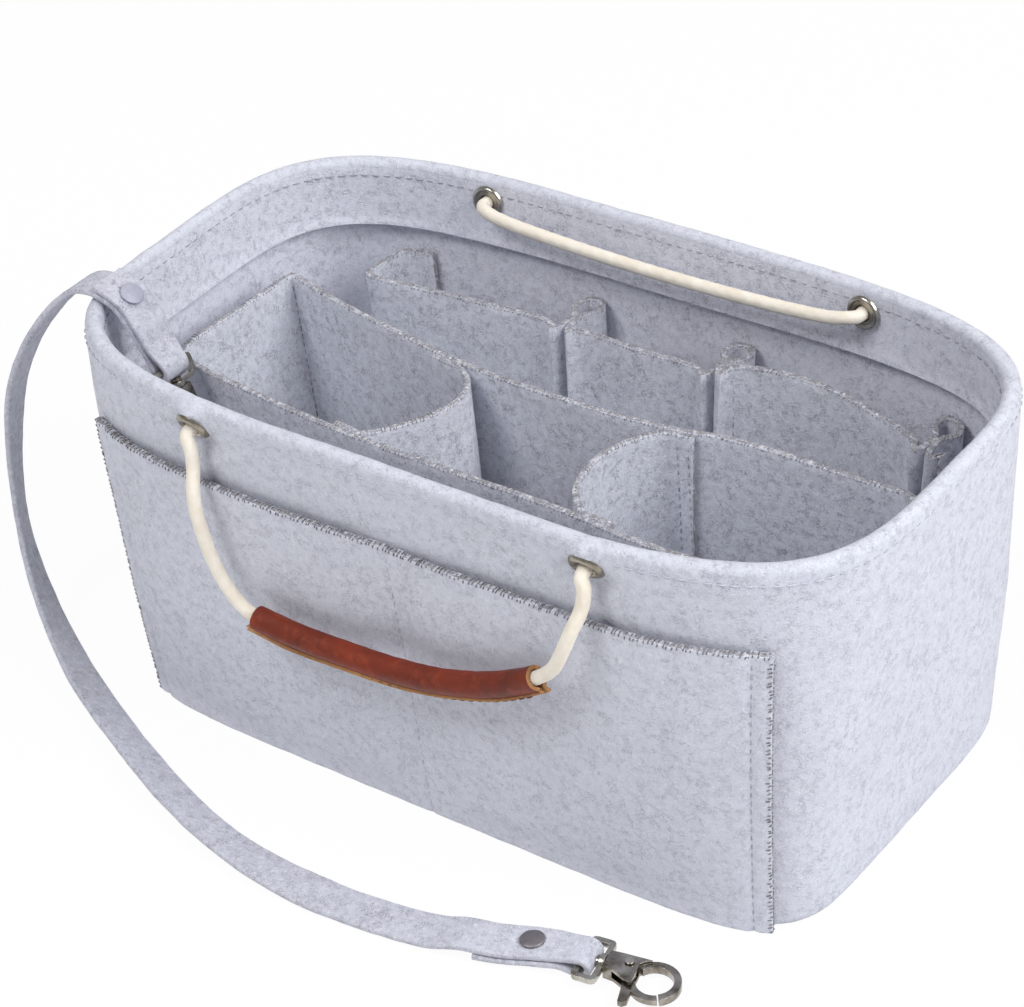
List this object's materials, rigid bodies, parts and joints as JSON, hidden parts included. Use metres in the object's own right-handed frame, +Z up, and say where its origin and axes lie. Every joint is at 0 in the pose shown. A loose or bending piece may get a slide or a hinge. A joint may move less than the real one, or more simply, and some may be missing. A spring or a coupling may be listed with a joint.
{
  "type": "purse organizer insert",
  "caption": "Felt purse organizer insert with an inner box, sewn pockets, pen loops, rope handles with leather grips and a clip-on felt lanyard.",
  "frame": {"origin": "middle of the base panel's underside, on the surface that the organizer stands on", "axes": "+Z up, +X along the length to the right seen from the wide outer pocket, -Y the side with the wide outer pocket"},
  "size_m": [0.3495, 0.23, 0.1451],
  "materials": {
    "body_felt": "pale lavender grey pressed felt, heathered, 3 mm",
    "lining_felt": "the same felt in a thinner 2 mm sheet, a little darker",
    "strap_felt": "2.2 mm felt strap, matte",
    "cotton_rope": "twisted natural cotton rope, cream",
    "leather": "reddish brown leather, semi-matte, raw tan cut edges",
    "nickel": "polished nickel plate",
    "dark_nickel": "darkened nickel plate",
    "spring_steel": "bright spring steel"
  },
  "bodies": {
    "organizer": {"shell_wall": "body_felt", "rim_facing": "body_felt", "base_panel": "lining_felt", "inner_box": "lining_felt", "divider_left": "lining_felt", "divider_right": "lining_felt", "back_pocket_strip": "lining_felt", "front_pocket_panel": "body_felt", "front_left_eyelet": "dark_nickel", "front_left_eyelet_washer": "dark_nickel", "front_right_eyelet": "dark_nickel", "front_right_eyelet_washer": "dark_nickel", "back_left_eyelet": "dark_nickel", "back_left_eyelet_washer": "dark_nickel", "back_right_eyelet": "dark_nickel", "back_right_eyelet_washer": "dark_nickel", "front_rope_inner_run": "cotton_rope", "back_rope_inner_run": "cotton_rope", "lanyard_strap": "strap_felt", "inner_rivet_cap": "nickel", "inner_rivet_post": "nickel", "outer_rivet_cap": "nickel", "outer_rivet_post": "nickel", "outer_clasp_eye": "nickel", "inner_clasp_eye": "nickel", "d_ring_tab": "lining_felt"},
    "front_handle": {"front_rope_outer_run": "cotton_rope", "front_leather_grip": "leather"},
    "back_handle": {"back_rope_outer_run": "cotton_rope", "back_leather_grip": "leather"},
    "outer_hook": {"outer_clasp_hook": "nickel", "outer_clasp_pin": "nickel", "outer_clasp_spring": "spring_steel"},
    "outer_gate": {"outer_clasp_gate": "dark_nickel"},
    "inner_hook": {"inner_clasp_hook": "nickel", "inner_clasp_pin": "nickel", "inner_clasp_spring": "spring_steel"},
    "inner_gate": {"inner_clasp_gate": "dark_nickel"},
    "ring": {"d_ring": "nickel"}
  },
  "joints": [
    {"name": "front_handle_lift", "type": "hinge", "parent": "organizer", "child": "front_handle", "pos_m": [0, -0.08532, 0.12979], "axis": [-1, 0, 0], "range_deg": [0, 175]},
    {"name": "back_handle_lift", "type": "hinge", "parent": "organizer", "child": "back_handle", "pos_m": [0, 0.08532, 0.12979], "axis": [1, 0, 0], "range_deg": [0, 175]},
    {"name": "outer_clasp_swivel", "type": "hinge", "parent": "organizer", "child": "outer_hook", "pos_m": [0.09117, -0.10825, 0.00394], "axis": [0.983, 0.1802, -0.035], "continuous": true},
    {"name": "outer_clasp_gate_open", "type": "hinge", "parent": "outer_hook", "child": "outer_gate", "pos_m": [0.09797, -0.10599, 0.00369], "axis": [-0.0345, -0.0063, -0.9994], "range_deg": [0, 28], "stiffness_Nm_per_rad": 0.03, "springref_deg": -17.19},
    {"name": "inner_clasp_swivel", "type": "hinge", "parent": "organizer", "child": "inner_hook", "pos_m": [-0.11531, -0.04444, 0.11044], "axis": [0.3, 0, -0.9539], "range_deg": [-8, 8]},
    {"name": "inner_clasp_gate_open", "type": "hinge", "parent": "inner_hook", "child": "inner_gate", "pos_m": [-0.11318, -0.04344, 0.10366], "axis": [-0.9539, 0, -0.3], "range_deg": [0, 28], "stiffness_Nm_per_rad": 0.03, "springref_deg": -17.19},
    {"name": "d_ring_swing", "type": "hinge", "parent": "organizer", "child": "ring", "pos_m": [-0.10739, -0.03576, 0.0905], "axis": [-0.9891, 0.1475, 0], "range_deg": [0, 35]}
  ]
}
